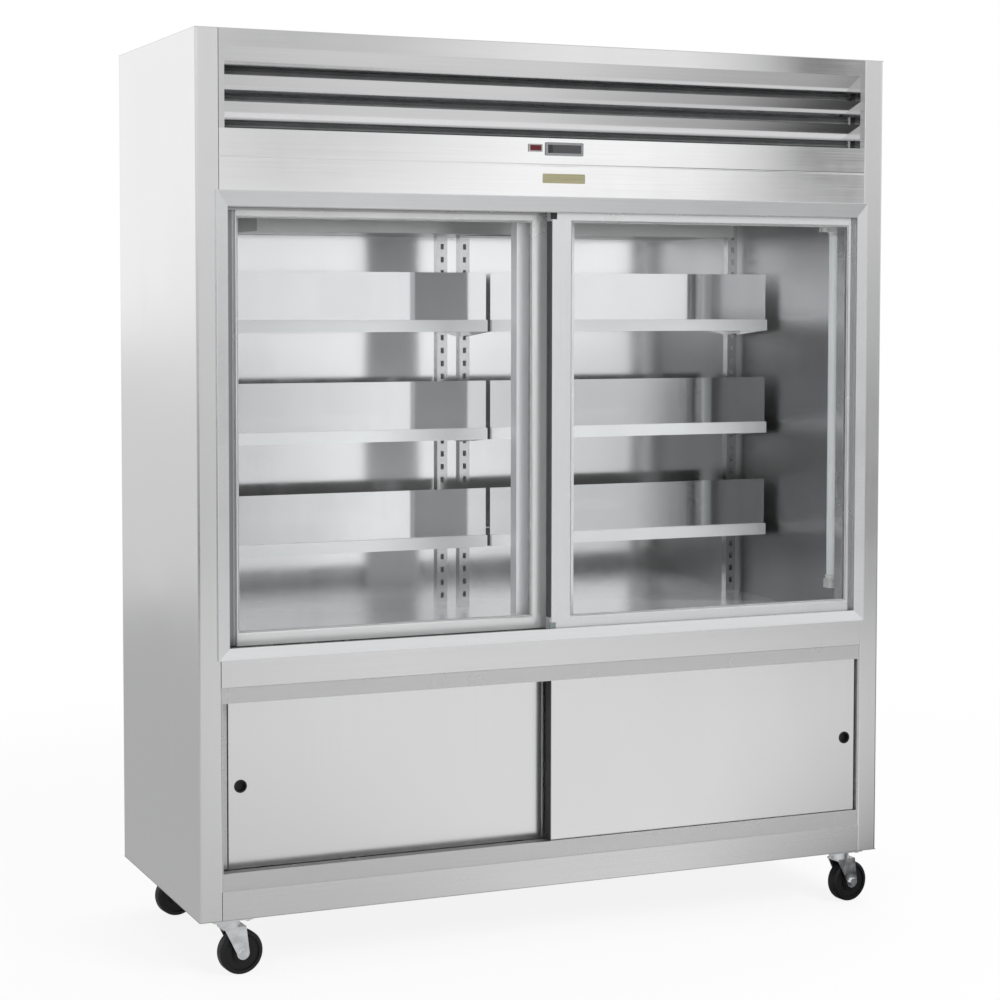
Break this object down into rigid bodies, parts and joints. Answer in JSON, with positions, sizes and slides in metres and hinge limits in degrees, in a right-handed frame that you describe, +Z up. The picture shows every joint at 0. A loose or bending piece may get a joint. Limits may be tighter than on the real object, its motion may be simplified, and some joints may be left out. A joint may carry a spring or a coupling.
{
  "type": "refrigerated display cabinet",
  "caption": "Upright stainless cold display case: sliding glazed doors over sliding solid doors, louvred cooling unit on top, swivel casters below.",
  "frame": {"origin": "on the floor under the middle of the cabinet's overall box, casters included", "axes": "+Z up, -Y out of the doors towards the user, +X to the right of a user facing the doors"},
  "size_m": [1.76, 0.686, 2.115],
  "materials": {
    "stainless": "satin, brushed",
    "polished_steel": "polished",
    "galvanised": "dull zinc",
    "anodised_aluminium": "satin",
    "coil_aluminium": "fine fins",
    "white_shelf": "gloss",
    "clear_glass": "clear",
    "black_plastic": "matte",
    "black_enamel": "semi-gloss",
    "dark_display": "gloss",
    "red_rocker": "gloss",
    "gold_plate": "satin",
    "white_plastic": "gloss",
    "lamp_glass": "frosted",
    "grey_plastic": "matte",
    "insulating_foam": "matte",
    "zinc_steel": "bright zinc",
    "black_rubber": "matte"
  },
  "bodies": {
    "cabinet": {"side_panel_left": "stainless", "side_panel_right": "stainless", "back_panel": "galvanised", "top_panel": "stainless", "base_pan": "galvanised", "foam_insulation": "insulating_foam", "liner_left": "polished_steel", "liner_right": "polished_steel", "liner_back": "polished_steel", "display_floor": "polished_steel", "storage_floor": "polished_steel", "mid_rail": "stainless", "door_surround": "anodised_aluminium", "upper_track_frame": "anodised_aluminium", "lower_track_frame": "anodised_aluminium", "toe_skirt": "stainless", "control_panel": "stainless", "temperature_display": "dark_display", "switch_housing": "black_plastic", "nameplate": "gold_plate", "louvre_panel": "stainless", "shelf_standards": "polished_steel", "centre_post": "polished_steel", "shelf_left_top": "white_shelf", "shelf_left_middle": "white_shelf", "shelf_left_bottom": "white_shelf", "shelf_right_top": "white_shelf", "shelf_right_middle": "white_shelf", "shelf_right_bottom": "white_shelf", "lamp_holders": "white_plastic", "lamp_tubes": "lamp_glass", "evaporator_cover": "anodised_aluminium", "evaporator_coil": "coil_aluminium", "compressor": "black_enamel", "condenser_coil": "coil_aluminium", "unit_deck": "galvanised", "caster_plates": "zinc_steel"},
    "upper_door_left": {"upper_door_left_frame": "anodised_aluminium", "upper_door_left_glass": "clear_glass", "upper_door_left_gear": "black_plastic"},
    "lower_door_left": {"lower_door_left_panel": "stainless", "lower_door_left_pull": "black_plastic", "lower_door_left_gear": "black_plastic"},
    "upper_door_right": {"upper_door_right_frame": "anodised_aluminium", "upper_door_right_glass": "clear_glass", "upper_door_right_gear": "black_plastic"},
    "lower_door_right": {"lower_door_right_panel": "stainless", "lower_door_right_pull": "black_plastic", "lower_door_right_gear": "black_plastic"},
    "switch_rocker": {"switch_rocker": "red_rocker"},
    "evaporator_fan": {"evaporator_fan": "grey_plastic"},
    "condenser_fan": {"condenser_fan": "coil_aluminium"},
    "caster_swivel_front_left": {"caster_fork_front_left": "zinc_steel"},
    "caster_wheel_front_left": {"caster_wheel_front_left": "black_rubber"},
    "caster_swivel_front_right": {"caster_fork_front_right": "zinc_steel"},
    "caster_wheel_front_right": {"caster_wheel_front_right": "black_rubber"},
    "caster_swivel_rear_left": {"caster_fork_rear_left": "zinc_steel"},
    "caster_wheel_rear_left": {"caster_wheel_rear_left": "black_rubber"},
    "caster_swivel_rear_right": {"caster_fork_rear_right": "zinc_steel"},
    "caster_wheel_rear_right": {"caster_wheel_rear_right": "black_rubber"}
  },
  "joints": [
    {"name": "upper_door_left_slide", "type": "slide", "parent": "cabinet", "child": "upper_door_left", "axis": [1, 0, 0], "range_m": [0, 0.79]},
    {"name": "lower_door_left_slide", "type": "slide", "parent": "cabinet", "child": "lower_door_left", "axis": [1, 0, 0], "range_m": [0, 0.79]},
    {"name": "upper_door_right_slide", "type": "slide", "parent": "cabinet", "child": "upper_door_right", "axis": [1, 0, 0], "range_m": [-0.8, 0]},
    {"name": "lower_door_right_slide", "type": "slide", "parent": "cabinet", "child": "lower_door_right", "axis": [1, 0, 0], "range_m": [-0.8, 0]},
    {"name": "switch_rock", "type": "hinge", "parent": "cabinet", "child": "switch_rocker", "pos_m": [-0.0675, -0.335, 1.874], "axis": [0, 0, 1], "range_deg": [0, 14]},
    {"name": "evaporator_fan_spin", "type": "hinge", "parent": "cabinet", "child": "evaporator_fan", "pos_m": [0, 0.079, 1.705], "axis": [0, 0, 1], "continuous": true},
    {"name": "condenser_fan_spin", "type": "hinge", "parent": "cabinet", "child": "condenser_fan", "pos_m": [-0.17, -0.117, 1.9205], "axis": [0, 1, 0], "continuous": true},
    {"name": "caster_swivel_front_left", "type": "hinge", "parent": "cabinet", "child": "caster_swivel_front_left", "pos_m": [-0.8, -0.292, 0.12], "axis": [0, 0, 1], "continuous": true},
    {"name": "caster_wheel_front_left_roll", "type": "hinge", "parent": "caster_swivel_front_left", "child": "caster_wheel_front_left", "pos_m": [-0.77406, -0.29019, 0.051], "axis": [-0.0698, 0.9976, 0], "continuous": true},
    {"name": "caster_swivel_front_right", "type": "hinge", "parent": "cabinet", "child": "caster_swivel_front_right", "pos_m": [0.8, -0.292, 0.12], "axis": [0, 0, 1], "continuous": true},
    {"name": "caster_wheel_front_right_roll", "type": "hinge", "parent": "caster_swivel_front_right", "child": "caster_wheel_front_right", "pos_m": [0.82586, -0.28928, 0.051], "axis": [-0.1045, 0.9945, 0], "continuous": true},
    {"name": "caster_swivel_rear_left", "type": "hinge", "parent": "cabinet", "child": "caster_swivel_rear_left", "pos_m": [-0.8, 0.248, 0.12], "axis": [0, 0, 1], "continuous": true},
    {"name": "caster_wheel_rear_left_roll", "type": "hinge", "parent": "caster_swivel_rear_left", "child": "caster_wheel_rear_left", "pos_m": [-0.77425, 0.25162, 0.051], "axis": [-0.1392, 0.9903, 0], "continuous": true},
    {"name": "caster_swivel_rear_right", "type": "hinge", "parent": "cabinet", "child": "caster_swivel_rear_right", "pos_m": [0.8, 0.248, 0.12], "axis": [0, 0, 1], "continuous": true},
    {"name": "caster_wheel_rear_right_roll", "type": "hinge", "parent": "caster_swivel_rear_right", "child": "caster_wheel_rear_right", "pos_m": [0.82543, 0.25341, 0.051], "axis": [-0.2079, 0.9781, 0], "continuous": true}
  ]
}
